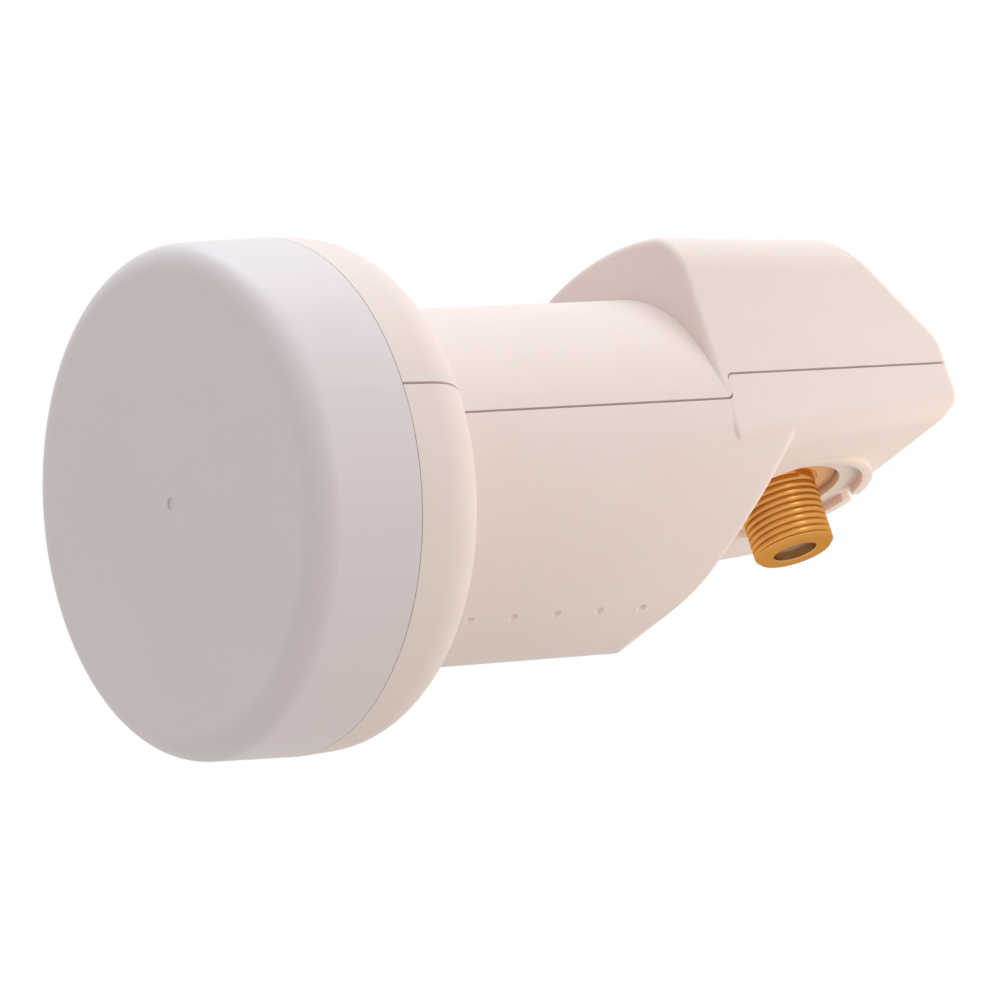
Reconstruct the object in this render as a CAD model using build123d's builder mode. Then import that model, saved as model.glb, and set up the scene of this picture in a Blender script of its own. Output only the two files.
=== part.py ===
"""Satellite LNB with a 40 mm neck: feed cap at -Y, F port facing down, all sizes in mm."""

import os
from math import cos, radians, sin, sqrt, tan

from build123d import *

os.makedirs("parts", exist_ok=True)

# Clearances that tie the pieces together
slip = 0.2
close_fit = 0.05
seam_gap = 0.3

# Moulded shells: collar and neck, turned about Y
wall = 2.0
neck_radius = 20.0
neck_front = -17.9
neck_root = 0.8
collar_radius = 28.55
collar_front = -28.5
collar_draft = 0.6
collar_round = 7.0

# Moulded shells: rear box with an arched roof and a sloping end
box_front = 20.6
box_rear = 53.8
land = -4.1
land_rise = 0.09
roof_radius = 46.0
roof_fall = 0.045
shoulder_round = 6.3
foot_round = 2.5
foot_bevel = 1.6
foot_bend = 2.5
front_edge = 0.8
rear_edge = 0.7
knuckle = 6.1
knuckle_round = 4.0
rear_slope = 34.8

# Moulded shells: belly under the box, cut off by a slanting wall that clears the waveguide
cut_clear = 1.43
cut_slope = 49.3
cut_bend = 10.0
cut_edge = 0.8
belly_draft = 0.1
belly_rear = 34.0

# Parting line of the shells, with the lower shell's lip inside it
seam_rise = 3.0
seam_step = 1.3
seam_corner = 0.8
lip_wall = 1.5
lip_height = 1.2

# Index dimples on the neck
dimple_count = 5
dimple_pitch = 5.87
dimple_first = -12.7
dimple_angle = -70.7
dimple_radius = 0.75
dimple_depth = 0.3

# Guard ring round the port, with a sunk floor and a drain slot
guard_gap = 2.5
guard_wall = 1.2
guard_drop = 0.3
guard_slot = 1.6

# Feed cap, with its moulding gate mark
cap_front = -41.9
cap_gap = 0.1
cap_draft = 0.3
cap_round = 3.0
cap_wall = 1.8
spigot_wall = 1.5
gate_radius = 0.7
gate_depth = 0.2

# Seal between cap and horn
seal_section = 0.75

# Horn casting: waveguide, scalar rings and disc
bore_radius = 8.75
bore_end = 17.4
tube_wall = 2.45
tube_back = 2.0
mouth_radius = 11.0
mouth_gap = 1.8
ring_wall = 1.3
ring_gap = 1.3
groove_depth = 7.6
disc_thick = 5.2
saddle_front = 9.4
saddle_thick = 2.6

# Horn casting: deck and tray
deck_skin = 1.75
deck_front = 1.0
deck_margin = 1.0
deck_foot = -4.0
tray_gap = 0.3
tray_margin = 1.0
tray_end_gap = 0.85
tray_wall = 1.6
tray_floor = 1.8

# Circuit board and its screening cover
board_thick = 0.8
board_margin = 0.6
tongue_front = 2.0
cover_margin = 1.4
cover_headroom = 8.75
cover_end_gap = 1.1
cover_low = 2.8
cover_wall = 1.0
cover_tongue_margin = 1.2
absorber_thick = 1.4
absorber_gap = 0.3

# Cover screws
screw_radius = 1.1
screw_bite = 3.2
screw_head_radius = 2.0
screw_head = 1.1
screw_slot = 0.5
screw_margin = 2.7
post_radius = 2.6

# Probes and isolation bar in the waveguide
probe_radius = 0.6
bead_radius = 1.6
bead_skin = 0.6
probe_reach = 3.4
probe_stub = 0.5
vertical_probe_y = 13.6
horizontal_probe_y = 7.0
bar_radius = 0.8
bar_y = 10.4

# Parts soldered to the board
part_gap = 0.6
chip_size = 5.0
chip_high = 0.9
chip_corner = 0.3
chip_x = 2.8
chip_inset = 7.0
regulator_long = 6.6
regulator_wide = 6.2
regulator_high = 2.3
regulator_bevel = 0.5
regulator_inset = 5.2
crystal_long = 5.0
crystal_wide = 3.2
crystal_high = 1.3
crystal_corner = 0.6
crystal_gap = 0.8
crystal_shift = 2.0
transistor_size = 1.9
transistor_high = 0.8
transistor_gap = 3.4
capacitor_long = 1.6
capacitor_wide = 0.8
capacitor_gap = 1.4
capacitor_row = 3.6
capacitor_side = 2.6

# F connector on the underside
port_inset = 13.65
port_end = -10.8
thread_radius = 4.7
thread_lead = 0.8
barrel_wall = 1.65
barrel_lip = 1.1
barrel_lip_wall = 0.5
flange_wide = 1.7
flange_thick = 0.8
pilot_wall = 0.4
seal_thick = 0.5
shank_step = 0.5
shank_stand = 0.8
port_clear = 1.2
contact_radius = 1.3
contact_pin = 0.5
contact_depth = 1.4
contact_length = 5.0
contact_root = 1.0

# Shell sizes that follow from those above
neck_inner = neck_radius - wall
collar_inner = collar_radius - wall
deck = bore_radius + deck_skin
board_top = deck + board_thick
cover_top = board_top + regulator_high + absorber_gap + absorber_thick + cover_wall
roof_crown = cover_top + cover_headroom
arch_centre = roof_crown - roof_radius
rear_slant = tan(radians(rear_slope))
rear_wall = wall / cos(radians(rear_slope))
cut_slant = tan(radians(cut_slope))
collar_step = collar_radius - collar_draft - neck_radius
collar_bend = min(collar_round, collar_step - neck_root - slip)
port_y = box_rear - port_inset
flange_radius = thread_radius + flange_wide
port_hole = flange_radius + port_clear
guard_radius = port_hole + guard_gap + guard_wall
guard_foot = land - guard_drop
land_front = land + (box_front - port_y) * land_rise
land_rear = land + (box_rear - port_y) * land_rise

# Horn and cap sizes that follow
tube_radius = bore_radius + tube_wall
disc_rear = neck_front - wall
disc_front = disc_rear - disc_thick
disc_round = min(collar_bend - wall + slip, disc_thick - slip)
tube_rear = bore_end + tube_back
cut_wall = wall / sin(radians(cut_slope))
cut_foot = tube_rear + cut_clear + cut_wall - (neck_radius - tube_radius) / cut_slant
spigot_radius = collar_inner - collar_draft - slip
spigot_end = disc_front - 2 * (seal_section + close_fit)
seal_radius = spigot_radius - seal_section - close_fit
cap_radius = collar_radius - cap_draft
cap_rear = collar_front - cap_gap
mouth_front = cap_front + cap_wall + mouth_gap
groove_floor = mouth_front + groove_depth
ring_span = spigot_radius - spigot_wall - ring_gap - mouth_radius
groove_width = (ring_span - 3 * ring_wall) / 2
first_groove = mouth_radius + ring_wall
middle_ring = first_groove + groove_width
second_groove = middle_ring + ring_wall
outer_ring = second_groove + groove_width

# Tray, board and cover sizes that follow
deck_half = sqrt((neck_inner - slip) ** 2 - deck**2) - deck_margin
tongue_half = sqrt((neck_inner - board_margin) ** 2 - board_top**2)
tray_front = box_front + wall + tray_gap
tray_rear = box_rear - (deck - knuckle) * rear_slant - rear_wall - tray_end_gap
floor_foot = land_rear - (box_rear - tray_rear) * land_rise + wall + slip
floor_top = floor_foot + tray_floor
tray_half = neck_inner - tray_margin
cover_front = tray_front + board_margin
cover_rear = box_rear - (cover_top - knuckle) * rear_slant - rear_wall - cover_end_gap
cover_half = tray_half - cover_margin
cover_tongue_top = board_top + cover_low
cover_tongue_half = sqrt((neck_inner - slip) ** 2 - cover_tongue_top**2) - cover_tongue_margin
cover_tongue_front = tongue_front + board_margin
screw_x = cover_half - screw_margin
screw_front = cover_front + screw_margin
screw_rear = cover_rear - screw_margin
screw_spots = [
    (screw_x, screw_front),
    (-screw_x, screw_front),
    (screw_x, screw_rear),
    (-screw_x, screw_rear),
]
horizontal_probe_x = deck_half - bead_radius - bead_skin
probe_spots = [(0, vertical_probe_y), (horizontal_probe_x, horizontal_probe_y)]
chip_y = cover_front + chip_inset
regulator_x = part_gap + regulator_long / 2 + post_radius - screw_x
crystal_x = chip_x + (chip_size + crystal_wide) / 2 + crystal_gap

# Port sizes that follow
seat_top = floor_foot - slip
seat_floor = seat_top - wall
flange_face = floor_foot - flange_thick
seal_face = flange_face - seal_thick
pilot_radius = thread_radius + pilot_wall
shank_radius = thread_radius - shank_step
shank_top = floor_top + shank_stand
barrel_bore = thread_radius - barrel_wall
barrel_mouth = barrel_bore - barrel_lip_wall
socket_foot = port_end + barrel_lip + contact_depth


def turned_form(inset):
    """Collar and neck with every face moved in by inset, and the front left open."""
    with BuildPart() as turned:
        with BuildSketch(Plane.YZ):
            with BuildLine():
                Polyline(
                    (collar_front - inset, 0),
                    (collar_front - inset, collar_radius - inset),
                    (neck_front - inset, collar_radius - collar_draft - inset),
                    (neck_front - inset, neck_radius - inset),
                    (box_front, neck_radius - inset),
                    (box_front + 2 * wall, neck_radius - belly_draft - inset),
                    (box_front + 2 * wall, 0),
                    close=True,
                )
            make_face()
            rim = (neck_front - inset, collar_radius - collar_draft - inset)
            fillet(vertices().sort_by_distance(rim)[0], max(collar_bend - inset, close_fit))
            if not inset:
                fillet(vertices().sort_by_distance((neck_front, neck_radius))[0], neck_root)
        revolve(axis=Axis.Y)
        # belly, which sinks a little towards the rear like the roof
        with BuildSketch(Plane.XZ.offset(-box_front)):
            Circle(neck_radius - inset)
            with Locations((0, neck_radius)):
                Rectangle(2 * neck_radius, 2 * neck_radius, mode=Mode.SUBTRACT)
        extrude(amount=belly_rear - box_front, dir=(0, 1, -roof_fall))
        # slanting wall that ends the neck and the belly below the box
        with BuildSketch(Plane.YZ):
            with BuildLine():
                Polyline(
                    (cut_foot - cut_bend, -2 * neck_radius),
                    (cut_foot - cut_bend, -neck_radius - slip),
                    (cut_foot - slip / cut_slant, -neck_radius - slip),
                    (cut_foot + 2 * neck_radius / cut_slant, neck_radius),
                    (box_rear + neck_radius, neck_radius),
                    (box_rear + neck_radius, -2 * neck_radius),
                    close=True,
                )
            make_face()
            fillet(vertices().sort_by_distance((cut_foot, -neck_radius))[0], cut_bend)
            if inset:
                offset(amount=inset, kind=Kind.INTERSECTION)
        extrude(amount=collar_radius, both=True, mode=Mode.SUBTRACT)
        if not inset:
            slant = turned.faces().sort_by(Axis((0, 0, 0), (0, cut_slant, -1)))[-1]
            fillet(slant.edges().sort_by(Axis.Z)[:-1], cut_edge)
    return turned.part


def box_form(inset):
    """Rear box with every face moved in by inset; only the outside gets its rounded edges."""
    top = roof_crown + wall
    half = neck_radius - inset
    length = box_rear - box_front + wall
    with BuildPart() as box:
        with BuildSketch(Plane.YZ):
            with BuildLine():
                Polyline(
                    (box_front, land_front - 2 * wall),
                    (box_rear - foot_bevel - 2 * wall, land_rear - 2 * wall),
                    (box_rear, land_rear + foot_bevel),
                    (box_rear, knuckle),
                    (box_rear - (top - knuckle) * rear_slant, top),
                    (box_front, top),
                    close=True,
                )
            make_face()
            fillet(vertices().sort_by_distance((box_rear, knuckle))[0], knuckle_round)
            fillet(vertices().sort_by_distance((box_rear, land_rear + foot_bevel))[0], foot_bend)
            if inset:
                offset(amount=-inset, kind=Kind.INTERSECTION)
        extrude(amount=neck_radius + wall, both=True)
        with BuildSketch(Plane.XZ.offset(-box_front)):
            with Locations((0, land_front + inset)):
                Rectangle(2 * half, 2 * top, align=(Align.CENTER, Align.MIN))
            fillet(vertices().group_by(Axis.Y)[0], max(foot_round - inset, close_fit))
        extrude(amount=length, dir=(0, 1, land_rise), mode=Mode.INTERSECT)
        with BuildSketch(Plane.XZ.offset(-box_front)):
            with Locations((0, arch_centre)):
                Circle(roof_radius - inset)
        extrude(amount=length, dir=(0, 1, -roof_fall), mode=Mode.INTERSECT)
        if not inset:
            roof = box.faces().sort_by(Axis.Z)[-1]
            fillet(roof.edges().sort_by(Axis.X)[0::3], shoulder_round)
            rear = box.faces().filter_by(lambda face: face.normal_at().Y > roof_fall * 4)
            bends = (land_rear + slip, knuckle + knuckle_round / 2)
            inner = rear.edges().filter_by(Axis.X).filter_by_position(Axis.Z, *bends)
            fillet([edge for edge in rear.edges() if edge not in inner], rear_edge)
            fillet(box.faces().sort_by(Axis.Y)[0].edges(), front_edge)
    return box.part


def housing_form(inset):
    """Both shells as one solid, with every face moved in by inset."""
    with BuildPart() as form:
        add(turned_form(inset))
        add(box_form(inset))
    return form.part


with BuildPart() as lower_zone:
    with BuildSketch(Plane.YZ):
        with BuildLine():
            Polyline(
                (collar_front - wall, 0),
                (box_front + seam_step, 0),
                (box_front + seam_step, seam_rise),
                (box_rear + wall, seam_rise),
                (box_rear + wall, -2 * neck_radius),
                (collar_front - wall, -2 * neck_radius),
                close=True,
            )
        make_face()
        fillet(vertices().sort_by_distance((box_front + seam_step, 0))[0], seam_corner)
        fillet(vertices().sort_by_distance((box_front + seam_step, seam_rise))[0], seam_corner)
    extrude(amount=collar_radius + wall, both=True)

with BuildPart() as skin:
    add(housing_form(0))
    add(housing_form(wall), mode=Mode.SUBTRACT)

with BuildPart() as lip:
    add(housing_form(wall - lip_wall))
    add(housing_form(wall), mode=Mode.SUBTRACT)
    with Locations((0, -lip_height, lip_height)):
        add(lower_zone.part, mode=Mode.INTERSECT)
    add(lower_zone.part, mode=Mode.SUBTRACT)
    with Locations((0, collar_front, 0)):
        Box(
            3 * collar_radius,
            2 * wall,
            3 * collar_radius,
            align=(Align.CENTER, Align.MAX, Align.CENTER),
            mode=Mode.SUBTRACT,
        )

with BuildPart() as rebate:
    add(housing_form(wall - lip_wall - close_fit))
    with Locations((0, -lip_height - slip, lip_height + slip)):
        add(lower_zone.part, mode=Mode.INTERSECT)

with BuildPart() as upper_shell:
    add(skin.part)
    with Locations((0, 0, seam_gap)):
        add(lower_zone.part, mode=Mode.SUBTRACT)
    add(rebate.part, mode=Mode.SUBTRACT)
upper_shell.part.label = "upper_shell"
export_step(upper_shell.part, "parts/upper_shell.step")

with BuildPart() as lower_shell:
    add(skin.part)
    add(lower_zone.part, mode=Mode.INTERSECT)
    add(lip.part)
    # seat for the port: a level boss with a guard ring, a sunk floor, a drain slot and a hole
    with BuildSketch(Plane.XY.offset(guard_foot)):
        with Locations((0, port_y)):
            Circle(guard_radius)
    extrude(amount=seat_top - guard_foot)
    with BuildSketch(Plane.XY.offset(seat_floor)):
        with Locations((0, port_y)):
            Circle(guard_radius - guard_wall)
        with Locations((0, port_y + guard_radius)):
            Rectangle(guard_slot, 3 * guard_wall)
    extrude(amount=port_end - seat_floor, mode=Mode.SUBTRACT)
    with BuildSketch(Plane.XY.offset(seat_floor)):
        with Locations((0, port_y)):
            Circle(port_hole)
    extrude(amount=wall, mode=Mode.SUBTRACT)
    # row of index dimples
    dimple_out = neck_radius + dimple_radius - dimple_depth
    dimple_x = dimple_out * cos(radians(dimple_angle))
    dimple_z = dimple_out * sin(radians(dimple_angle))
    for step in range(dimple_count):
        with Locations((dimple_x, dimple_first + step * dimple_pitch, dimple_z)):
            Sphere(dimple_radius, mode=Mode.SUBTRACT)
lower_shell.part.label = "lower_shell"
export_step(lower_shell.part, "parts/lower_shell.step")

with BuildPart() as feed_cap:
    with BuildSketch(Plane.XY):
        with BuildLine():
            Polyline(
                (0, cap_front + gate_depth),
                (gate_radius, cap_front + gate_depth),
                (gate_radius, cap_front),
                (cap_radius, cap_front),
                (collar_radius, cap_rear),
                (spigot_radius, cap_rear),
                (spigot_radius, spigot_end),
                (spigot_radius - spigot_wall, spigot_end),
                (cap_radius - cap_wall, cap_front + cap_wall),
                (0, cap_front + cap_wall),
                close=True,
            )
        make_face()
        fillet(vertices().sort_by_distance((cap_radius, cap_front))[0], cap_round)
        inner_corner = (cap_radius - cap_wall, cap_front + cap_wall)
        fillet(vertices().sort_by_distance(inner_corner)[0], cap_round - cap_wall)
    revolve(axis=Axis.Y)
feed_cap.part.label = "feed_cap"
export_step(feed_cap.part, "parts/feed_cap.step")

with BuildPart() as cap_seal:
    with BuildSketch(Plane.XY):
        with Locations((seal_radius, (spigot_end + disc_front) / 2)):
            Circle(seal_section)
    revolve(axis=Axis.Y)
cap_seal.part.label = "cap_seal"
export_step(cap_seal.part, "parts/cap_seal.step")

with BuildPart() as horn_casting:
    # waveguide tube, disc and scalar rings, turned about Y with the bore left open
    with BuildSketch(Plane.XY):
        with BuildLine():
            Polyline(
                (0, tube_rear),
                (0, bore_end),
                (bore_radius, bore_end),
                (bore_radius, disc_front),
                (mouth_radius, mouth_front),
                (first_groove, mouth_front),
                (first_groove, groove_floor),
                (middle_ring, groove_floor),
                (middle_ring, mouth_front),
                (second_groove, mouth_front),
                (second_groove, groove_floor),
                (outer_ring, groove_floor),
                (outer_ring, mouth_front),
                (outer_ring + ring_wall, mouth_front),
                (outer_ring + ring_wall, disc_front),
                (spigot_radius, disc_front),
                (spigot_radius, disc_rear),
                (tube_radius, disc_rear),
                (tube_radius, tube_rear),
                close=True,
            )
        make_face()
        fillet(vertices().sort_by_distance((spigot_radius, disc_rear))[0], disc_round)
    revolve(axis=Axis.Y)
    # saddle that centres the tube in the neck
    with BuildSketch(Plane.XZ.offset(-saddle_front)):
        Circle(neck_inner - slip)
        Circle(bore_radius + tube_wall / 2, mode=Mode.SUBTRACT)
    extrude(amount=-saddle_thick)
    # deck over the tube and tray behind it
    with BuildSketch(Plane.XY.offset(deck)):
        with Locations((0, (deck_front + tray_front) / 2)):
            Rectangle(2 * deck_half, tray_front - deck_front)
    extrude(amount=deck_foot - deck)
    with BuildSketch(Plane.XY.offset(deck)):
        with Locations((0, (tray_front + tray_rear) / 2)):
            Rectangle(2 * tray_half, tray_rear - tray_front)
    extrude(amount=floor_foot - deck)
    with BuildSketch(Plane.XY.offset(deck)):
        with Locations((0, (tray_front + tray_rear) / 2)):
            Rectangle(2 * (tray_half - tray_wall), tray_rear - tray_front - 2 * tray_wall)
    extrude(amount=floor_top - deck, mode=Mode.SUBTRACT)
    with BuildSketch(Plane.XY.offset(deck)):
        with Locations((0, (deck_front + tray_front) / 2)):
            Rectangle(2 * neck_radius, tray_front - deck_front)
    extrude(amount=neck_radius, mode=Mode.SUBTRACT)
    with BuildSketch(Plane.XZ.offset(-disc_front)):
        Circle(bore_radius)
    extrude(amount=disc_front - bore_end, mode=Mode.SUBTRACT)
    # posts for the cover screws, hole for the port
    with BuildSketch(Plane.XY.offset(floor_top)):
        with Locations(screw_spots):
            Circle(post_radius)
    extrude(amount=deck - floor_top)
    with BuildSketch(Plane.XY.offset(deck)):
        with Locations(screw_spots):
            Circle(screw_radius + close_fit)
    extrude(amount=-screw_bite - slip, mode=Mode.SUBTRACT)
    with BuildSketch(Plane.XY.offset(floor_foot)):
        with Locations((0, port_y)):
            Circle(shank_radius + close_fit)
    extrude(amount=tray_floor, mode=Mode.SUBTRACT)
    # ways for the two probes and the isolation bar
    with BuildSketch(Plane.XY.offset(deck)):
        with Locations(probe_spots):
            Circle(bead_radius + close_fit)
    extrude(amount=-deck, mode=Mode.SUBTRACT)
    with BuildSketch(Plane.YZ):
        with Locations((horizontal_probe_y, 0)):
            Circle(bead_radius + close_fit)
    extrude(amount=horizontal_probe_x + bead_radius, mode=Mode.SUBTRACT)
    with BuildSketch(Plane.YZ):
        with Locations((bar_y, 0)):
            Circle(bar_radius + close_fit)
    extrude(amount=tube_radius, both=True, mode=Mode.SUBTRACT)
horn_casting.part.label = "horn_casting"
export_step(horn_casting.part, "parts/horn_casting.step")

with BuildPart() as isolation_bar:
    with BuildSketch(Plane.YZ):
        with Locations((bar_y, 0)):
            Circle(bar_radius)
    extrude(amount=tube_radius - slip, both=True)
isolation_bar.part.label = "isolation_bar"
export_step(isolation_bar.part, "parts/isolation_bar.step")

with BuildPart() as vertical_probe:
    with BuildSketch(Plane.XY.offset(probe_reach)):
        with Locations((0, vertical_probe_y)):
            Circle(probe_radius)
    extrude(amount=board_top + probe_stub - probe_reach)
vertical_probe.part.label = "vertical_probe"
export_step(vertical_probe.part, "parts/vertical_probe.step")

with BuildPart() as horizontal_probe:
    with BuildLine():
        FilletPolyline(
            (probe_reach, horizontal_probe_y, 0),
            (horizontal_probe_x, horizontal_probe_y, 0),
            (horizontal_probe_x, horizontal_probe_y, board_top + probe_stub),
            radius=2 * probe_radius,
        )
    with BuildSketch(Plane((probe_reach, horizontal_probe_y, 0), z_dir=(1, 0, 0))):
        Circle(probe_radius)
    sweep()
horizontal_probe.part.label = "horizontal_probe"
export_step(horizontal_probe.part, "parts/horizontal_probe.step")

with BuildPart() as probe_beads:
    with BuildSketch(Plane.XY.offset(deck)):
        with Locations((0, vertical_probe_y)):
            Circle(bead_radius)
            Circle(probe_radius + close_fit, mode=Mode.SUBTRACT)
    extrude(amount=bore_radius - deck)
    with BuildSketch(Plane.XY.offset(deck)):
        with Locations((horizontal_probe_x, horizontal_probe_y)):
            Circle(bead_radius)
            Circle(probe_radius + close_fit, mode=Mode.SUBTRACT)
    extrude(amount=bead_radius + probe_radius - deck)
probe_beads.part.label = "probe_beads"
export_step(probe_beads.part, "parts/probe_beads.step")

with BuildPart() as circuit_board:
    with BuildSketch(Plane.XY.offset(deck)):
        with Locations((0, (cover_front + tray_rear - board_margin) / 2)):
            Rectangle(2 * (tray_half - board_margin), tray_rear - board_margin - cover_front)
        with Locations((0, (tongue_front + tray_front) / 2 + board_margin)):
            Rectangle(2 * tongue_half, tray_front - tongue_front)
        with Locations(screw_spots):
            Circle(screw_radius + slip, mode=Mode.SUBTRACT)
        with Locations(probe_spots):
            Circle(probe_radius + close_fit, mode=Mode.SUBTRACT)
        with Locations((0, port_y)):
            Circle(contact_pin + close_fit, mode=Mode.SUBTRACT)
    extrude(amount=board_thick)
circuit_board.part.label = "circuit_board"
export_step(circuit_board.part, "parts/circuit_board.step")

with BuildPart() as screening_cover:
    # tall chamber over the tray, low chamber over the waveguide
    with BuildSketch(Plane.XY.offset(board_top)):
        with Locations((0, (cover_front + cover_rear) / 2)):
            Rectangle(2 * cover_half, cover_rear - cover_front)
    extrude(amount=cover_top - board_top)
    with BuildSketch(Plane.XY.offset(board_top)):
        with Locations((0, (cover_tongue_front + cover_front) / 2)):
            Rectangle(2 * cover_tongue_half, cover_front - cover_tongue_front)
    extrude(amount=cover_low)
    fillet(screening_cover.edges().filter_by(Axis.Z).sort_by(Axis.Y)[-2:], cover_wall)
    with BuildSketch(Plane.XY.offset(board_top)):
        with Locations((0, (cover_front + cover_rear) / 2)):
            Rectangle(2 * (cover_half - cover_wall), cover_rear - cover_front - 2 * cover_wall)
    extrude(amount=cover_top - cover_wall - board_top, mode=Mode.SUBTRACT)
    with BuildSketch(Plane.XY.offset(board_top)):
        with Locations((0, (cover_tongue_front + cover_front) / 2)):
            Rectangle(
                2 * (cover_tongue_half - cover_wall),
                cover_front - cover_tongue_front - 2 * cover_wall,
            )
    extrude(amount=cover_low - cover_wall, mode=Mode.SUBTRACT)
    # columns that the screws pass through
    with BuildSketch(Plane.XY.offset(board_top)):
        with Locations(screw_spots):
            Circle(post_radius)
    extrude(amount=cover_top - cover_wall - board_top)
    with BuildSketch(Plane.XY.offset(board_top)):
        with Locations(screw_spots):
            Circle(screw_radius + slip)
    extrude(amount=cover_top - board_top, mode=Mode.SUBTRACT)
screening_cover.part.label = "screening_cover"
export_step(screening_cover.part, "parts/screening_cover.step")

with BuildPart() as absorber_pad:
    with BuildSketch(Plane.XY.offset(cover_top - cover_wall)):
        with Locations((0, (screw_front + screw_rear) / 2)):
            Rectangle(2 * (screw_x - post_radius - slip), screw_rear - screw_front)
    extrude(amount=-absorber_thick)
absorber_pad.part.label = "absorber_pad"
export_step(absorber_pad.part, "parts/absorber_pad.step")

with BuildPart() as cover_screws:
    with BuildSketch(Plane.XY.offset(deck - screw_bite)):
        with Locations(screw_spots):
            Circle(screw_radius)
    extrude(amount=cover_top - deck + screw_bite)
    with BuildSketch(Plane.XY.offset(cover_top)):
        with Locations(screw_spots):
            Circle(screw_head_radius)
    extrude(amount=screw_head)
    # cross recess in each head
    with BuildSketch(Plane.XY.offset(cover_top + screw_head)):
        with Locations(screw_spots):
            Rectangle(2 * screw_radius, screw_slot)
            Rectangle(screw_slot, 2 * screw_radius)
    extrude(amount=-screw_head / 2, mode=Mode.SUBTRACT)
cover_screws.part.label = "cover_screws"
export_step(cover_screws.part, "parts/cover_screws.step")

with BuildPart() as converter_chip:
    with BuildSketch(Plane.XY.offset(board_top)):
        with Locations((chip_x, chip_y)):
            RectangleRounded(chip_size, chip_size, chip_corner)
    extrude(amount=chip_high)
converter_chip.part.label = "converter_chip"
export_step(converter_chip.part, "parts/converter_chip.step")

with BuildPart() as voltage_regulator:
    with BuildSketch(Plane.XY.offset(board_top)):
        with Locations((regulator_x, cover_rear - regulator_inset)):
            Rectangle(regulator_long, regulator_wide)
    extrude(amount=regulator_high)
    chamfer(voltage_regulator.faces().sort_by(Axis.Z)[-1].edges(), regulator_bevel)
voltage_regulator.part.label = "voltage_regulator"
export_step(voltage_regulator.part, "parts/voltage_regulator.step")

with BuildPart() as crystal:
    with BuildSketch(Plane.XY.offset(board_top)):
        with Locations((crystal_x, chip_y + crystal_shift)):
            RectangleRounded(crystal_wide, crystal_long, crystal_corner)
    extrude(amount=crystal_high)
crystal.part.label = "crystal"
export_step(crystal.part, "parts/crystal.step")

with BuildPart() as lna_transistors:
    with BuildSketch(Plane.XY.offset(board_top)):
        with Locations((0, vertical_probe_y)):
            with GridLocations(0, 2 * transistor_gap, 1, 2):
                Rectangle(transistor_size, transistor_size)
    extrude(amount=transistor_high)
lna_transistors.part.label = "lna_transistors"
export_step(lna_transistors.part, "parts/lna_transistors.step")

with BuildPart() as capacitors:
    with BuildSketch(Plane.XY.offset(board_top)):
        with Locations((chip_x, chip_y)):
            with GridLocations(2 * capacitor_gap, 2 * capacitor_row, 2, 2):
                Rectangle(capacitor_long, capacitor_wide)
        with Locations((0, vertical_probe_y)):
            with GridLocations(2 * capacitor_side, 2 * transistor_gap, 2, 2):
                Rectangle(capacitor_wide, capacitor_long)
    extrude(amount=capacitor_wide)
capacitors.part.label = "capacitors"
export_step(capacitors.part, "parts/capacitors.step")

with BuildPart() as f_connector_body:
    with BuildSketch(Plane.XZ.offset(-port_y)):
        with BuildLine():
            Polyline(
                (barrel_mouth, port_end),
                (thread_radius, port_end),
                (thread_radius, seal_face),
                (pilot_radius, seal_face),
                (pilot_radius, flange_face),
                (flange_radius, flange_face),
                (flange_radius, floor_foot),
                (shank_radius, floor_foot),
                (shank_radius, shank_top),
                (barrel_bore, shank_top),
                (barrel_bore, port_end + barrel_lip),
                (barrel_mouth, port_end + barrel_lip),
                close=True,
            )
        make_face()
        chamfer(vertices().sort_by_distance((thread_radius, port_end))[0], thread_lead)
    revolve(axis=Axis((0, port_y, 0), (0, 0, 1)))
f_connector_body.part.label = "f_connector_body"
export_step(f_connector_body.part, "parts/f_connector_body.step")

with BuildPart() as f_connector_seal:
    with BuildSketch(Plane.XY.offset(seal_face)):
        with Locations((0, port_y)):
            Circle(port_hole - slip)
            Circle(pilot_radius + close_fit, mode=Mode.SUBTRACT)
    extrude(amount=seal_thick)
f_connector_seal.part.label = "f_connector_seal"
export_step(f_connector_seal.part, "parts/f_connector_seal.step")

with BuildPart() as f_connector_insulator:
    with BuildSketch(Plane.XY.offset(port_end + barrel_lip)):
        with Locations((0, port_y)):
            Circle(barrel_bore - close_fit)
            Circle(contact_pin + slip, mode=Mode.SUBTRACT)
    extrude(amount=shank_top - port_end - barrel_lip)
    with BuildSketch(Plane.XY.offset(socket_foot)):
        with Locations((0, port_y)):
            Circle(contact_radius + close_fit)
    extrude(amount=contact_length, mode=Mode.SUBTRACT)
f_connector_insulator.part.label = "f_connector_insulator"
export_step(f_connector_insulator.part, "parts/f_connector_insulator.step")

with BuildPart() as f_connector_contact:
    with BuildSketch(Plane.XY.offset(socket_foot)):
        with Locations((0, port_y)):
            Circle(contact_radius)
            Circle(contact_pin, mode=Mode.SUBTRACT)
    extrude(amount=contact_length)
    with BuildSketch(Plane.XY.offset(socket_foot + contact_length - contact_root)):
        with Locations((0, port_y)):
            Circle(contact_pin)
    extrude(amount=board_top + probe_stub - socket_foot - contact_length + contact_root)
f_connector_contact.part.label = "f_connector_contact"
export_step(f_connector_contact.part, "parts/f_connector_contact.step")
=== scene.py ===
import bpy
import math
from mathutils import Matrix, Vector


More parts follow.
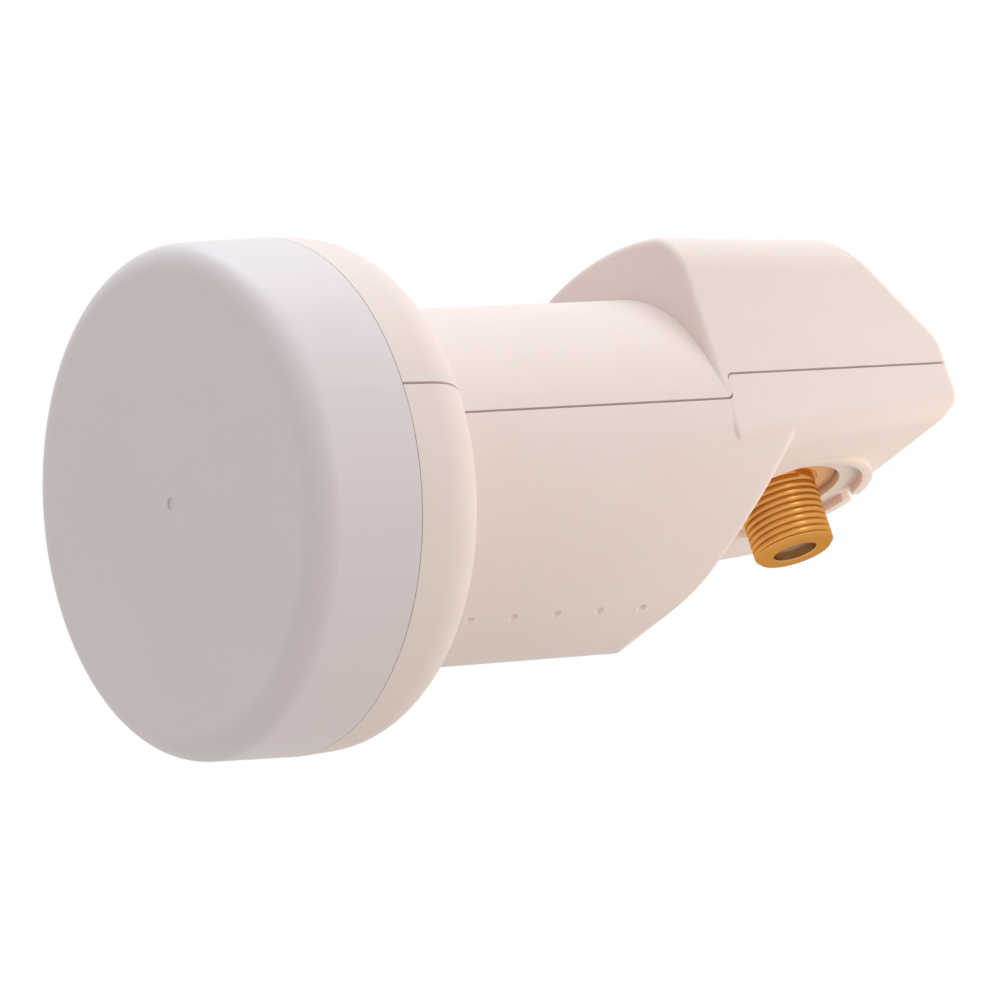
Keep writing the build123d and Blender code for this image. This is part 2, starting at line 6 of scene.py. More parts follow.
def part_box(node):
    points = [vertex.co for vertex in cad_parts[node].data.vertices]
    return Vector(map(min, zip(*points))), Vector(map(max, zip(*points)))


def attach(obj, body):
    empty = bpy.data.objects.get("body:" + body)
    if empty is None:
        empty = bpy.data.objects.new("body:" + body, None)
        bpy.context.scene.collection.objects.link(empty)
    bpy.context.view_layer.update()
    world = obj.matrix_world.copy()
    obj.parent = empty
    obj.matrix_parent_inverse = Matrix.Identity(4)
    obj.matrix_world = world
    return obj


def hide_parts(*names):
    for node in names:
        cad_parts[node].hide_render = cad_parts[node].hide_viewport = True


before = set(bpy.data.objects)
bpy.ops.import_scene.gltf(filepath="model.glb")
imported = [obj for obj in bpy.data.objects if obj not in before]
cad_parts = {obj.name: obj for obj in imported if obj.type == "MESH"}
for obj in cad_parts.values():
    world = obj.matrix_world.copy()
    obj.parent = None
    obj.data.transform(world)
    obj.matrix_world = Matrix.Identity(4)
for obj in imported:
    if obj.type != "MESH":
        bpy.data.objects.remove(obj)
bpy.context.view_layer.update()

bpy.context.scene.view_settings.view_transform = "Standard"

# Horn casting and screening cover: waveguide, scalar rings, deck and tray in one die casting.
# The cover is a second casting, screwed down on the board so that each chamber is closed.
mm = 0.001


def linear(code):
    """Linear colour of an sRGB hex code, with alpha 1."""
    parts = [int(code[i : i + 2], 16) / 255 for i in (0, 2, 4)]
    return [c / 12.92 if c <= 0.04045 else ((c + 0.055) / 1.055) ** 2.4 for c in parts] + [1]


def add_node(material, kind, links=None, **settings):
    """Adds one node: links maps a socket to a value or to the socket that feeds it."""
    tree = material.node_tree
    node = tree.nodes.new(kind)
    for name, value in settings.items():
        setattr(node, name, value)
    for name, value in (links or {}).items():
        if isinstance(value, bpy.types.NodeSocket):
            tree.links.new(value, node.inputs[name])
        else:
            node.inputs[name].default_value = value
    return node


def begin(name, **constants):
    """Starts a material: its shader with constants set on the sockets, and Object coordinates."""
    material = bpy.data.materials.new(name)
    material.use_nodes = True
    shader = material.node_tree.nodes["Principled BSDF"]
    for socket, value in constants.items():
        shader.inputs[socket.replace("_", " ")].default_value = value
    return material, add_node(material, "ShaderNodeTexCoord").outputs["Object"]


def settle(material, **feeds):
    """Links what the nodes give to the shader's sockets."""
    shader = material.node_tree.nodes["Principled BSDF"]
    for socket, feed in feeds.items():
        material.node_tree.links.new(feed, shader.inputs[socket.replace("_", " ")])


def coat(material, *names):
    """Gives CAD nodes a material."""
    for name in names:
        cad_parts[name].data.materials.clear()
        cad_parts[name].data.materials.append(material)


# Die-cast aluminium: grey with soft flow clouds and a matt skin of about 0.5 mm grain.
cast_aluminium, cast_place = begin("die_cast_aluminium", Metallic=1.0)
cast_flow = add_node(
    cast_aluminium,
    "ShaderNodeTexNoise",
    {"Vector": cast_place, "Scale": 1 / (7 * mm), "Detail": 3.0},
)
cast_tone = add_node(
    cast_aluminium,
    "ShaderNodeMix",
    {"Factor": cast_flow.outputs["Fac"], "A": linear("A3A4A6"), "B": linear("BFC0C2")},
    data_type="RGBA",
)
cast_grain = add_node(
    cast_aluminium,
    "ShaderNodeTexNoise",
    {"Vector": cast_place, "Scale": 1 / (0.5 * mm), "Detail": 2.0},
)
cast_matt = add_node(
    cast_aluminium,
    "ShaderNodeMapRange",
    {"Value": cast_grain.outputs["Fac"], "To Min": 0.42, "To Max": 0.6},
)
cast_bump = add_node(
    cast_aluminium,
    "ShaderNodeBump",
    {"Height": cast_grain.outputs["Fac"], "Strength": 0.2, "Distance": 0.05 * mm},
)
settle(
    cast_aluminium,
    Base_Color=cast_tone.outputs["Result"],
    Roughness=cast_matt.outputs["Result"],
    Normal=cast_bump.outputs["Normal"],
)
coat(cast_aluminium, "horn_casting", "screening_cover")

# Isolation bar and cover screws: turned steel, pressed across the waveguide or driven home.
# Zinc plating leaves it a cool bright grey with a faint cloudy bloom.
zinc_steel, zinc_place = begin("zinc_plated_steel", Metallic=1.0)
zinc_bloom = add_node(
    zinc_steel, "ShaderNodeTexNoise", {"Vector": zinc_place, "Scale": 1 / (0.9 * mm), "Detail": 3.0}
)
zinc_tone = add_node(
    zinc_steel,
    "ShaderNodeMix",
    {"Factor": zinc_bloom.outputs["Fac"], "A": linear("A9ACB2"), "B": linear("C6C8CB")},
    data_type="RGBA",
)
zinc_rub = add_node(
    zinc_steel,
    "ShaderNodeMapRange",
    {"Value": zinc_bloom.outputs["Fac"], "To Min": 0.24, "To Max": 0.4},
)
settle(zinc_steel, Base_Color=zinc_tone.outputs["Result"], Roughness=zinc_rub.outputs["Result"])
coat(zinc_steel, "isolation_bar", "cover_screws")

# Probes and the port's spring contact: drawn brass wire and bronze, cut, bent and tin plated.
# The plating is pale and warm, with fine draw marks that run along the wire.
plated_wire, wire_place = begin("plated_brass_wire", Metallic=1.0)
wire_lay = add_node(plated_wire, "ShaderNodeMapping", {"Vector": wire_place, "Scale": (1, 1, 0.1)})
wire_marks = add_node(
    plated_wire,
    "ShaderNodeTexNoise",
    {"Vector": wire_lay.outputs["Vector"], "Scale": 1 / (0.15 * mm), "Detail": 2.0},
)
wire_tone = add_node(
    plated_wire,
    "ShaderNodeMix",
    {"Factor": wire_marks.outputs["Fac"], "A": linear("C2A468"), "B": linear("DCC695")},
    data_type="RGBA",
)
wire_rub = add_node(
    plated_wire,
    "ShaderNodeMapRange",
    {"Value": wire_marks.outputs["Fac"], "To Min": 0.2, "To Max": 0.36},
)
settle(plated_wire, Base_Color=wire_tone.outputs["Result"], Roughness=wire_rub.outputs["Result"])
coat(plated_wire, "vertical_probe", "horizontal_probe", "f_connector_contact")

# Probe beads: turned fluoropolymer plugs that hold the probes in the middle of their holes.
# White and waxy, with a skin that the turning tool left faintly uneven, about 0.4 mm.
fluoropolymer, bead_place = begin(
    "turned_fluoropolymer", IOR=1.38, Subsurface_Weight=0.2, Subsurface_Scale=0.8 * mm
)
bead_skin = add_node(
    fluoropolymer,
    "ShaderNodeTexNoise",
    {"Vector": bead_place, "Scale": 1 / (0.4 * mm), "Detail": 2.0},
)
bead_tone = add_node(
    fluoropolymer,
    "ShaderNodeMix",
    {"Factor": bead_skin.outputs["Fac"], "A": linear("E6E5E0"), "B": linear("F2F1EE")},
    data_type="RGBA",
)
bead_rub = add_node(
    fluoropolymer,
    "ShaderNodeMapRange",
    {"Value": bead_skin.outputs["Fac"], "To Min": 0.35, "To Max": 0.5},
)
settle(fluoropolymer, Base_Color=bead_tone.outputs["Result"], Roughness=bead_rub.outputs["Result"])
coat(fluoropolymer, "probe_beads")

# Circuit board: glass-filled microwave laminate, laid on the deck and clamped by the cover.
# Green solder mask over it lets the weave, about 0.5 mm, show as a faint check in gloss and tone.
weave_pitch = 0.5 * mm
wave_length = 0.314  # of the Wave node's bands at scale 1
solder_mask, board_place = begin("solder_masked_laminate", IOR=1.5)
weft = add_node(
    solder_mask,
    "ShaderNodeTexWave",
    {"Vector": board_place, "Scale": wave_length / weave_pitch},
    bands_direction="X",
)
warp = add_node(
    solder_mask,
    "ShaderNodeTexWave",
    {"Vector": board_place, "Scale": wave_length / weave_pitch},
    bands_direction="Y",
)
weave = add_node(
    solder_mask,
    "ShaderNodeMath",
    {0: weft.outputs["Fac"], 1: warp.outputs["Fac"]},
    operation="MULTIPLY",
)
board_tone = add_node(
    solder_mask,
    "ShaderNodeMix",
    {"Factor": weave.outputs["Value"], "A": linear("1F5638"), "B": linear("296B47")},
    data_type="RGBA",
)
board_gloss = add_node(
    solder_mask,
    "ShaderNodeMapRange",
    {"Value": weave.outputs["Value"], "To Min": 0.28, "To Max": 0.42},
)
board_bump = add_node(
    solder_mask,
    "ShaderNodeBump",
    {"Height": weave.outputs["Value"], "Strength": 0.15, "Distance": 0.02 * mm},
)
settle(
    solder_mask,
    Base_Color=board_tone.outputs["Result"],
    Roughness=board_gloss.outputs["Result"],
    Normal=board_bump.outputs["Normal"],
)
coat(solder_mask, "circuit_board")

# Converter chip, regulator and transistors: dies moulded in black epoxy, soldered to the board.
# The filled resin is matt and very slightly speckled, about 0.15 mm.
moulded_epoxy, epoxy_place = begin("moulded_epoxy", IOR=1.55)
epoxy_fill = add_node(
    moulded_epoxy,
    "ShaderNodeTexNoise",
    {"Vector": epoxy_place, "Scale": 1 / (0.15 * mm), "Detail": 2.0},
)
epoxy_tone = add_node(
    moulded_epoxy,
    "ShaderNodeMix",
    {"Factor": epoxy_fill.outputs["Fac"], "A": linear("19191B"), "B": linear("262629")},
    data_type="RGBA",
)
epoxy_matt = add_node(
    moulded_epoxy,
    "ShaderNodeMapRange",
    {"Value": epoxy_fill.outputs["Fac"], "To Min": 0.5, "To Max": 0.68},
)
settle(
    moulded_epoxy,
    Base_Color=epoxy_tone.outputs["Result"],
    Roughness=epoxy_matt.outputs["Result"],
)
coat(moulded_epoxy, "converter_chip", "voltage_regulator", "lna_transistors")

# Crystal: a quartz blank in a drawn and nickel-plated can, soldered beside the converter chip.
# The plating is a smooth pale grey with soft drawing streaks along the can.
nickel_can, can_place = begin("nickel_plated_can", Metallic=1.0)
can_lay = add_node(nickel_can, "ShaderNodeMapping", {"Vector": can_place, "Scale": (1, 0.15, 1)})
can_streak = add_node(
    nickel_can,
    "ShaderNodeTexNoise",
    {"Vector": can_lay.outputs["Vector"], "Scale": 1 / (0.3 * mm), "Detail": 2.0},
)
can_tone = add_node(
    nickel_can,
    "ShaderNodeMix",
    {"Factor": can_streak.outputs["Fac"], "A": linear("B4B2AD"), "B": linear("CAC8C3")},
    data_type="RGBA",
)
can_rub = add_node(
    nickel_can,
    "ShaderNodeMapRange",
    {"Value": can_streak.outputs["Fac"], "To Min": 0.2, "To Max": 0.34},
)
settle(nickel_can, Base_Color=can_tone.outputs["Result"], Roughness=can_rub.outputs["Result"])
coat(nickel_can, "crystal")

# Capacitors: small blocks of sintered ceramic, soldered down by their ends.
# Warm tan with a fine dark speckle of about 0.2 mm, slightly glossy.
sintered_ceramic, ceramic_place = begin("sintered_ceramic", IOR=1.6)
ceramic_speck = add_node(
    sintered_ceramic,
    "ShaderNodeTexNoise",
    {"Vector": ceramic_place, "Scale": 1 / (0.2 * mm), "Detail": 3.0},
)
ceramic_tone = add_node(
    sintered_ceramic,
    "ShaderNodeMix",
    {"Factor": ceramic_speck.outputs["Fac"], "A": linear("8E6C4C"), "B": linear("B08C66")},
    data_type="RGBA",
)
ceramic_gloss = add_node(
    sintered_ceramic,
    "ShaderNodeMapRange",
    {"Value": ceramic_speck.outputs["Fac"], "To Min": 0.3, "To Max": 0.45},
)
settle(
    sintered_ceramic,
    Base_Color=ceramic_tone.outputs["Result"],
    Roughness=ceramic_gloss.outputs["Result"],
)
coat(sintered_ceramic, "capacitors")

# Absorber pad: carbon-loaded foam rubber, glued under the cover's roof to damp stray waves.
# Open cells of about 0.7 mm leave it dull black and pitted.
carbon_foam, foam_place = begin("carbon_loaded_foam", IOR=1.45)
foam_cell = add_node(
    carbon_foam, "ShaderNodeTexVoronoi", {"Vector": foam_place, "Scale": 1 / (0.7 * mm)}
)
foam_tone = add_node(
    carbon_foam,
    "ShaderNodeMix",
    {"Factor": foam_cell.outputs["Distance"], "A": linear("151517"), "B": linear("303033")},
    data_type="RGBA",
)
foam_matt = add_node(
    carbon_foam,
    "ShaderNodeMapRange",
    {"Value": foam_cell.outputs["Distance"], "To Min": 0.95, "To Max": 0.8},
)
foam_bump = add_node(
    carbon_foam,
    "ShaderNodeBump",
    {"Height": foam_cell.outputs["Distance"], "Strength": 0.6, "Distance": 0.15 * mm},
)
settle(
    carbon_foam,
    Base_Color=foam_tone.outputs["Result"],
    Roughness=foam_matt.outputs["Result"],
    Normal=foam_bump.outputs["Normal"],
)
coat(carbon_foam, "absorber_pad")

# F connector: turned brass with gold-coloured plating, its flange seated on the tray's floor.
# The barrel is cut with the 3/8-32 thread that the plug's nut turns onto.
body_low, body_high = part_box("f_connector_body")
seal_low, seal_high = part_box("f_connector_seal")
port_y = (body_low.y + body_high.y) / 2
thread_radius = 4.7 * mm
thread_pitch = 25.4 / 32 * mm
thread_root = thread_radius - 0.16 * mm
thread_lead = 0.45 * mm
thread_end = body_low.z
pilot_radius = 5.1 * mm
flange_radius = (body_high.x - body_low.x) / 2
flange_thickness = 0.8 * mm
bore_radius = 3.05 * mm
mouth_radius = 2.55 * mm
mouth_depth = 1.1 * mm
shank_radius = 4.2 * mm
edge = 0.15 * mm
round_steps = 96
weld = 0.001 * mm
turned_rings = [
    (mouth_radius + edge, thread_end),
    (thread_radius - thread_lead, thread_end),
    (thread_radius, thread_end + thread_lead),
    (thread_radius, seal_low.z),
    (pilot_radius, seal_low.z),
    (pilot_radius, seal_high.z),
    (flange_radius - edge, seal_high.z),
    (flange_radius, seal_high.z + edge),
    (flange_radius, seal_high.z + flange_thickness),
    (shank_radius, seal_high.z + flange_thickness),
    (shank_radius, body_high.z),
    (bore_radius, body_high.z),
    (bore_radius, thread_end + mouth_depth),
    (mouth_radius, thread_end + mouth_depth),
    (mouth_radius, thread_end + edge),
    (mouth_radius + edge, thread_end),
]
bpy.ops.object.select_all(action="DESELECT")
ring_radius, ring_height = turned_rings[0]
bpy.ops.mesh.primitive_circle_add(
    vertices=round_steps, radius=ring_radius, location=(0, 0, ring_height)
)
connector = bpy.context.object
connector.name = "f_connector_threaded"
bpy.ops.object.transform_apply(location=True)
bpy.ops.object.mode_set(mode="EDIT")
bpy.ops.mesh.select_all(action="SELECT")
for radius, height in turned_rings[1:]:
    bpy.ops.mesh.extrude_edges_move(TRANSFORM_OT_translate={"value": (0, 0, height - ring_height)})
    growth = radius / ring_radius
    bpy.ops.transform.resize(value=(growth, growth, 1), center_override=(0, 0, height))
    ring_radius, ring_height = radius, height
bpy.ops.mesh.select_all(action="SELECT")
bpy.ops.mesh.remove_doubles(threshold=weld)
bpy.ops.mesh.normals_make_consistent(inside=False)
bpy.ops.object.mode_set(mode="OBJECT")

# the groove between the thread's turns: a flat section wound up round the barrel, then cut out
groove_over = 0.04 * mm  # past the crests, so that the cut leaves no skin
groove_weld = 0.0001 * mm
flank_angle = math.radians(30)
groove_depth = thread_radius + groove_over - thread_root
groove_foot = thread_pitch / 8
groove_mouth = groove_foot + 2 * groove_depth * math.tan(flank_angle)
bpy.ops.object.select_all(action="DESELECT")
bpy.ops.mesh.primitive_plane_add(size=1, rotation=(math.pi / 2, 0, 0))
groove = bpy.context.object
groove.scale = (groove_depth, groove_foot, 1)
groove.location = (thread_root + groove_depth / 2, 0, thread_end - thread_pitch)
bpy.ops.object.transform_apply(location=True, rotation=True, scale=True)
bpy.ops.object.mode_set(mode="EDIT")
bpy.ops.mesh.select_mode(type="VERT")
bpy.ops.mesh.select_all(action="DESELECT")
bpy.ops.object.mode_set(mode="OBJECT")
for vertex in groove.data.vertices:
    vertex.select = vertex.co.x > thread_root + groove_depth / 2
bpy.ops.object.mode_set(mode="EDIT")
bpy.ops.transform.resize(
    value=(1, 1, groove_mouth / groove_foot), center_override=(0, 0, thread_end - thread_pitch)
)
bpy.ops.object.mode_set(mode="OBJECT")
winding = groove.modifiers.new("winding", "SCREW")
winding.axis = "Z"
winding.screw_offset = thread_pitch
winding.iterations = int((seal_low.z - thread_end) / thread_pitch) + 1
winding.steps = round_steps
winding.render_steps = round_steps
bpy.ops.object.modifier_apply(modifier="winding")
bpy.ops.object.mode_set(mode="EDIT")
bpy.ops.mesh.select_all(action="SELECT")
bpy.ops.mesh.remove_doubles(threshold=groove_weld)
bpy.ops.mesh.fill_holes(sides=4)
bpy.ops.mesh.normals_make_consistent(inside=False)
bpy.ops.object.mode_set(mode="OBJECT")
bpy.ops.object.select_all(action="DESELECT")
connector.select_set(True)
bpy.context.view_layer.objects.active = connector
cutting = connector.modifiers.new("cutting", "BOOLEAN")
cutting.operation = "DIFFERENCE"
cutting.solver = "EXACT"
cutting.object = groove
bpy.ops.object.modifier_apply(modifier="cutting")
bpy.data.objects.remove(groove)
bpy.ops.object.mode_set(mode="EDIT")
bpy.ops.mesh.select_all(action="SELECT")
bpy.ops.mesh.remove_doubles(threshold=weld)
bpy.ops.object.mode_set(mode="OBJECT")
crisp_angle = math.radians(25)
bpy.ops.object.shade_smooth_by_angle(angle=crisp_angle)

# the turns are rolled round at crest and root, so no hard edge shows along them
slack = 0.01 * mm
bpy.ops.object.mode_set(mode="EDIT")
bpy.ops.mesh.select_all(action="DESELECT")
bpy.ops.object.mode_set(mode="OBJECT")
for vertex in connector.data.vertices:
    outside = math.hypot(vertex.co.x, vertex.co.y) > thread_root - slack
    above_nose = vertex.co.z > thread_end + thread_lead + slack
    vertex.select = outside and above_nose and vertex.co.z < seal_low.z - slack
bpy.ops.object.mode_set(mode="EDIT")
bpy.ops.mesh.mark_sharp(clear=True)
bpy.ops.mesh.select_all(action="SELECT")
bpy.ops.transform.translate(value=(0, port_y, 0))
bpy.ops.object.mode_set(mode="OBJECT")

# Gold-coloured plating on brass: warm metal with a light stain of about 1.5 mm over it all.
# Painted shade: the grooves are painted darker and browner than the crests; the mouth is paler and
# duller.
# The edge tint keeps it gold where it is seen at a flat angle.
gold_brass, gold_place = begin(
    "gold_plated_brass", Metallic=1.0, Specular_Tint=linear("EFD3AE")
)
gold_stain = add_node(
    gold_brass, "ShaderNodeTexNoise", {"Vector": gold_place, "Scale": 1 / (1.5 * mm), "Detail": 4.0}
)
gold_tone = add_node(
    gold_brass,
    "ShaderNodeMix",
    {"Factor": gold_stain.outputs["Fac"], "A": linear("D9994E"), "B": linear("E5A962")},
    data_type="RGBA",
)
gold_axis = add_node(
    gold_brass,
    "ShaderNodeMapping",
    {"Vector": gold_place, "Location": (0, -port_y, 0), "Scale": (1, 1, 0)},
)
gold_reach = add_node(
    gold_brass, "ShaderNodeVectorMath", {0: gold_axis.outputs["Vector"]}, operation="LENGTH"
)
# painted shade: 0 at the thread's root and 1 at its crest, so the grooves are painted darker and
# browner
painted_groove_shade = add_node(
    gold_brass,
    "ShaderNodeMapRange",
    {"Value": gold_reach.outputs["Value"], "From Min": thread_root, "From Max": thread_radius},
)
# the painted groove shade CE924C at the root, blending to the stained gold on the crests
gold_colour = add_node(
    gold_brass,
    "ShaderNodeMix",
    {
        "Factor": painted_groove_shade.outputs["Result"],
        "A": linear("CE924C"),
        "B": gold_tone.outputs["Result"],
    },
    data_type="RGBA",
)
# inside the mouth the colour turns to a paler, duller tone
gold_mouth = add_node(
    gold_brass,
    "ShaderNodeMapRange",
    {
        "Value": gold_reach.outputs["Value"],
        "From Min": mouth_radius,
        "From Max": mouth_radius + edge,
    },
)
gold_finish = add_node(
    gold_brass,
    "ShaderNodeMix",
    {
        "Factor": gold_mouth.outputs["Result"],
        "A": linear("CDAA7E"),
        "B": gold_colour.outputs["Result"],
    },
    data_type="RGBA",
)
gold_rub = add_node(
    gold_brass,
    "ShaderNodeMapRange",
    {"Value": gold_stain.outputs["Fac"], "To Min": 0.26, "To Max": 0.36},
)
settle(gold_brass, Base_Color=gold_finish.outputs["Result"], Roughness=gold_rub.outputs["Result"])
connector.data.materials.append(gold_brass)
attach(connector, "root")
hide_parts("f_connector_body")

# Port insulator: a turned sleeve of natural polymer that holds the contact inside the barrel.
# Dull grey-brown with a soft translucent edge and a faint mottle of about 0.5 mm.
natural_polymer, sleeve_place = begin(
    "natural_polymer", IOR=1.5, Subsurface_Weight=0.1, Subsurface_Scale=0.5 * mm
)
sleeve_mottle = add_node(
    natural_polymer,
    "ShaderNodeTexNoise",
    {"Vector": sleeve_place, "Scale": 1 / (0.5 * mm), "Detail": 2.0},
)
sleeve_tone = add_node(
    natural_polymer,
    "ShaderNodeMix",
    {"Factor": sleeve_mottle.outputs["Fac"], "A": linear("9C7E66"), "B": linear("AC8F78")},
    data_type="RGBA",
)
sleeve_matt = add_node(
    natural_polymer,
    "ShaderNodeMapRange",
    {"Value": sleeve_mottle.outputs["Fac"], "To Min": 0.4, "To Max": 0.55},
)
settle(
    natural_polymer,
    Base_Color=sleeve_tone.outputs["Result"],
    Roughness=sleeve_matt.outputs["Result"],
)
coat(natural_polymer, "f_connector_insulator")

# Port seal: a flat ring punched from silicone sheet, squeezed between the flange and the seat.
# Tan and satin, with a slightly mottled skin of about 0.8 mm.
silicone, silicone_place = begin("silicone_rubber", IOR=1.41)
silicone_mottle = add_node(
    silicone,
    "ShaderNodeTexNoise",
    {"Vector": silicone_place, "Scale": 1 / (0.8 * mm), "Detail": 2.0},
)
silicone_tone = add_node(
    silicone,
    "ShaderNodeMix",
    {"Factor": silicone_mottle.outputs["Fac"], "A": linear("E2AD77"), "B": linear("ECBB88")},
    data_type="RGBA",
)
silicone_skin = add_node(
    silicone,
    "ShaderNodeMapRange",
    {"Value": silicone_mottle.outputs["Fac"], "To Min": 0.45, "To Max": 0.6},
)
settle(
    silicone,
    Base_Color=silicone_tone.outputs["Result"],
    Roughness=silicone_skin.outputs["Result"],
)
coat(silicone, "f_connector_seal")

# Housing shells: upper and lower half of collar, neck and rear box, moulded in cream ABS.
# The lower shell's lip stands in the upper one's rebate and the seam is welded all round.
# A spark-eroded tool gives the ABS a satin skin with a grain of about 0.3 mm, faintly uneven.
cream_abs, shell_place = begin(
    "moulded_cream_abs",
    IOR=1.48,
    Specular_IOR_Level=0.3,
    Subsurface_Radius=(1.0, 0.55, 0.35),
    Subsurface_Scale=1.5 * mm,
)
shell_cloud = add_node(
    cream_abs, "ShaderNodeTexNoise", {"Vector": shell_place, "Scale": 1 / (14 * mm), "Detail": 3.0}
)
shell_tone = add_node(
    cream_abs,
    "ShaderNodeMix",
    {"Factor": shell_cloud.outputs["Fac"], "A": linear("EBDAD3"), "B": linear("F0E1DB")},
    data_type="RGBA",
)
shell_grain = add_node(
    cream_abs, "ShaderNodeTexNoise", {"Vector": shell_place, "Scale": 1 / (0.3 * mm), "Detail": 2.0}
)
shell_gloss = add_node(
    cream_abs,
    "ShaderNodeMapRange",
    {"Value": shell_grain.outputs["Fac"], "To Min": 0.5, "To Max": 0.64},
)
shell_bump = add_node(
    cream_abs,
    "ShaderNodeBump",
    {"Height": shell_grain.outputs["Fac"], "Strength": 0.08, "Distance": 0.03 * mm},
)
# round the port the guard ring is thin enough for light to glow through it
glow_reach = 11 * mm
glow_end = 15 * mm
shell_axis = add_node(
    cream_abs,
    "ShaderNodeMapping",
    {"Vector": shell_place, "Location": (0, -port_y, 0), "Scale": (1, 1, 0)},
)
shell_reach = add_node(
    cream_abs, "ShaderNodeVectorMath", {0: shell_axis.outputs["Vector"]}, operation="LENGTH"
)
shell_glow = add_node(
    cream_abs,
    "ShaderNodeMapRange",
    {
        "Value": shell_reach.outputs["Value"],
        "From Min": glow_reach,
        "From Max": glow_end,
        "To Min": 0.8,
        "To Max": 0.15,
    },
)
settle(
    cream_abs,
    Base_Color=shell_tone.outputs["Result"],
    Subsurface_Weight=shell_glow.outputs["Result"],
    Roughness=shell_gloss.outputs["Result"],
    Normal=shell_bump.outputs["Normal"],
)
coat(cream_abs, "upper_shell", "lower_shell")

# Cap seal: a moulded rubber ring between the cap's spigot and the horn's disc.
# Black with a dry bloom and a fine moulded grain of about 0.4 mm.
black_rubber, rubber_place = begin("moulded_black_rubber", IOR=1.5)
rubber_bloom = add_node(
    black_rubber,
    "ShaderNodeTexNoise",
    {"Vector": rubber_place, "Scale": 1 / (0.4 * mm), "Detail": 3.0},
)
rubber_tone = add_node(
    black_rubber,
    "ShaderNodeMix",
    {"Factor": rubber_bloom.outputs["Fac"], "A": linear("1B1B1C"), "B": linear("2B2B2D")},
    data_type="RGBA",
)
rubber_matt = add_node(
    black_rubber,
    "ShaderNodeMapRange",
    {"Value": rubber_bloom.outputs["Fac"], "To Min": 0.6, "To Max": 0.8},
)
settle(
    black_rubber,
    Base_Color=rubber_tone.outputs["Result"],
    Roughness=rubber_matt.outputs["Result"],
)
coat(black_rubber, "cap_seal")

# Feed cap: the round radome that closes the horn, injection moulded in polypropylene.
# It is pressed into the collar by its spigot. The gate left a small round scar at the centre.
# Cool white: a polished tool leaves it glossy with a faint orange peel of about 1.6 mm.
polypropylene, cap_place = begin("moulded_polypropylene", IOR=1.49)
cap_cloud = add_node(
    polypropylene,
    "ShaderNodeTexNoise",
    {"Vector": cap_place, "Scale": 1 / (18 * mm), "Detail": 2.0},
)
cap_tone = add_node(
    polypropylene,
    "ShaderNodeMix",
    {"Factor": cap_cloud.outputs["Fac"], "A": linear("E1D6D7"), "B": linear("E7DCDF")},
    data_type="RGBA",
)
cap_gloss = add_node(
    polypropylene,
    "ShaderNodeMapRange",
    {"Value": cap_cloud.outputs["Fac"], "To Min": 0.4, "To Max": 0.5},
)
cap_peel = add_node(
    polypropylene,
    "ShaderNodeTexNoise",
    {"Vector": cap_place, "Scale": 1 / (1.6 * mm), "Detail": 1.0},
)
cap_bump = add_node(
    polypropylene,
    "ShaderNodeBump",
    {"Height": cap_peel.outputs["Fac"], "Strength": 0.04, "Distance": 0.05 * mm},
)
settle(
    polypropylene,
    Base_Color=cap_tone.outputs["Result"],
    Roughness=cap_gloss.outputs["Result"],
    Normal=cap_bump.outputs["Normal"],
)
coat(polypropylene, "feed_cap")

# Floor: a wide sheet of pale studio paper, well below the object, which is looked up at.
# Matt ivory with a fibre mottle of about 4 mm; the eye sees it as bright as the surround.
floor_width = 40.0
floor_level = -1.0


def background_rays(material):
    """Gives 1 to the rays that see the background: camera, glossy and transmission rays."""
    ray = add_node(material, "ShaderNodeLightPath")
    seen = add_node(
        material,
        "ShaderNodeMath",
        {0: ray.outputs["Is Camera Ray"], 1: ray.outputs["Is Glossy Ray"]},
        operation="MAXIMUM",
    )
    return add_node(
        material,
        "ShaderNodeMath",
        {0: seen.outputs["Value"], 1: ray.outputs["Is Transmission Ray"]},
        operation="MAXIMUM",
    ).outputs["Value"]


bpy.ops.object.select_all(action="DESELECT")
bpy.ops.mesh.primitive_plane_add(size=floor_width, location=(0, 0, floor_level))
floor = bpy.context.object
floor.name = "studio_floor"
bpy.ops.object.transform_apply(location=True)
studio_paper, paper_place = begin("studio_paper", IOR=1.45, Emission_Color=(1, 1, 1, 1))
paper_fibre = add_node(
    studio_paper,
    "ShaderNodeTexNoise",
    {"Vector": paper_place, "Scale": 1 / (4 * mm), "Detail": 2.0},
)
paper_tone = add_node(
    studio_paper,
    "ShaderNodeMix",
    {"Factor": paper_fibre.outputs["Fac"], "A": linear("EAE6DF"), "B": linear("EEEAE3")},
    data_type="RGBA",
)
paper_matt = add_node(
    studio_paper,
    "ShaderNodeMapRange",
    {"Value": paper_fibre.outputs["Fac"], "To Min": 0.85, "To Max": 0.95},
)
paper_lift = add_node(
    studio_paper, "ShaderNodeMapRange", {"Value": background_rays(studio_paper), "To Max": 0.4}
)
settle(
    studio_paper,
    Base_Color=paper_tone.outputs["Result"],
    Roughness=paper_matt.outputs["Result"],
    Emission_Strength=paper_lift.outputs["Result"],
)
floor.data.materials.append(studio_paper)

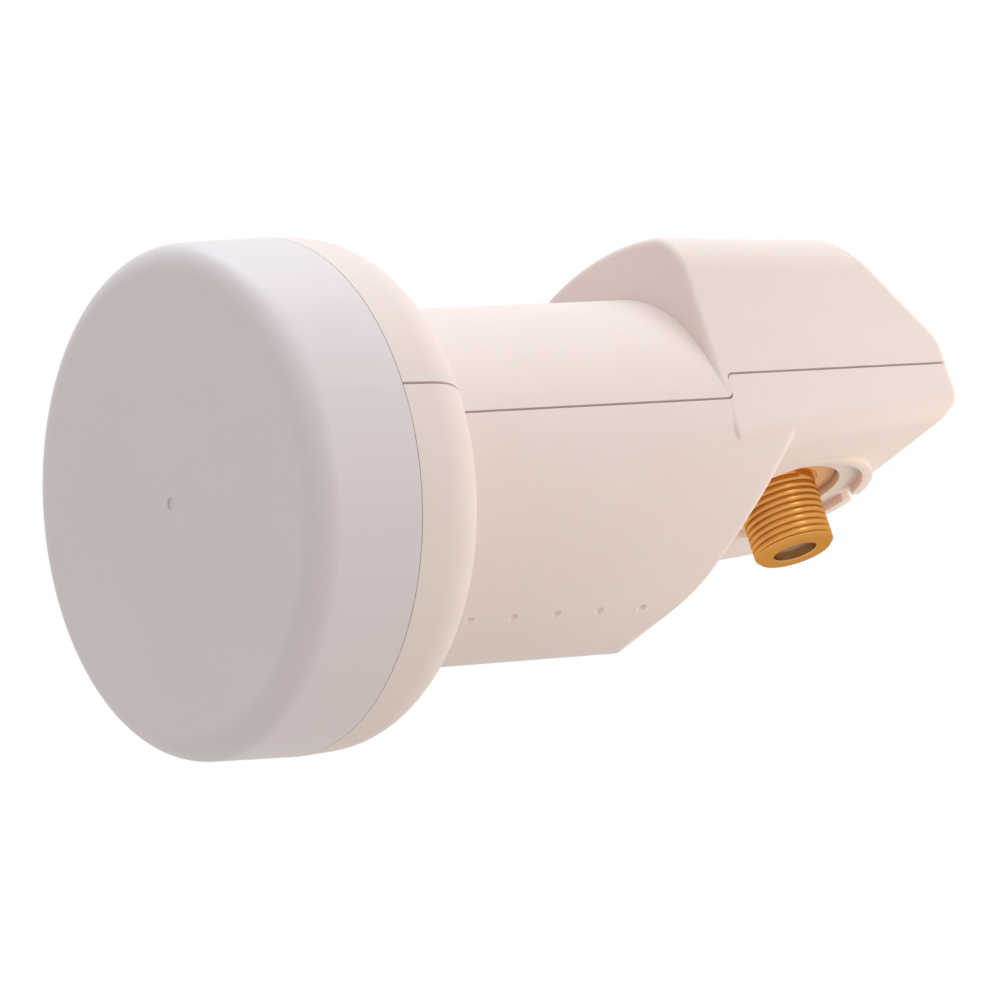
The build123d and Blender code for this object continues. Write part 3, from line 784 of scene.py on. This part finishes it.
# Camera: below the horizon on the port's side, long lens, rolled as the photographer held it.
camera_distance = 0.8
camera_data = bpy.data.cameras.new("photo_camera")
camera_data.lens = 257.1
camera_data.sensor_width = 36.0
camera_data.shift_x = 0.0156
camera_data.shift_y = -0.0153
camera = bpy.data.objects.new("photo_camera", camera_data)
bpy.context.collection.objects.link(camera)
azimuth, elevation, roll = math.radians(52.224), math.radians(-18.676), math.radians(-17.419)
level = math.cos(elevation)
back = Vector((math.sin(azimuth) * level, -math.cos(azimuth) * level, math.sin(elevation)))
right = Vector((math.cos(azimuth), math.sin(azimuth), 0.0))
up = back.cross(right)
side = right * math.cos(roll) + up * math.sin(roll)
top = up * math.cos(roll) - right * math.sin(roll)
turn = Matrix((side, top, back)).transposed().to_4x4()
camera.matrix_world = Matrix.Translation(back * camera_distance) @ turn
bpy.context.scene.camera = camera

# Studio light: a white surround that lights evenly, one broad lamp overhead and a key behind,
# a small low lamp that draws the streak on the connector, and a fill under the port.
# Key and fill light the surfaces but don't show in what the metal reflects.
world = bpy.data.worlds.new("white_studio")
bpy.context.scene.world = world
world.use_nodes = True
surround = world.node_tree.nodes["Background"]
surround.inputs["Color"].default_value = (1, 1, 1, 1)
strength = add_node(
    world,
    "ShaderNodeMapRange",
    {"Value": background_rays(world), "To Min": 0.65, "To Max": 1.0},
)
world.node_tree.links.new(strength.outputs["Result"], surround.inputs["Strength"])
cool, plain, warm = (0.77, 0.89, 1.0), (1.0, 1.0, 1.0), (1.0, 0.93, 0.84)
# each lamp's width and place in metres, its power in watts and whether metal mirrors it
for lamp_name, lamp_size, lamp_power, lamp_tint, mirrored, lamp_place in (
    ("overhead_lamp", 0.6, 3.6, cool, True, Vector((0.08, 0.05, 0.9))),
    ("rear_key", 0.3, 0.6, plain, False, Vector((0.3, 0.3, 0.3))),
    ("streak_lamp", 0.05, 0.12, plain, True, Vector((0.36, 0.06, -0.03))),
    ("port_fill", 0.08, 0.075, warm, False, Vector((0.04, 0.13, -0.07))),
):
    lamp_data = bpy.data.lights.new(lamp_name, "AREA")
    lamp_data.size = lamp_size
    lamp_data.energy = lamp_power
    lamp_data.color = lamp_tint
    lamp = bpy.data.objects.new(lamp_name, lamp_data)
    bpy.context.collection.objects.link(lamp)
    lamp_aim = lamp_place.to_track_quat("Z", "Y").to_matrix().to_4x4()
    lamp.matrix_world = Matrix.Translation(lamp_place) @ lamp_aim
    lamp.visible_glossy = mirrored
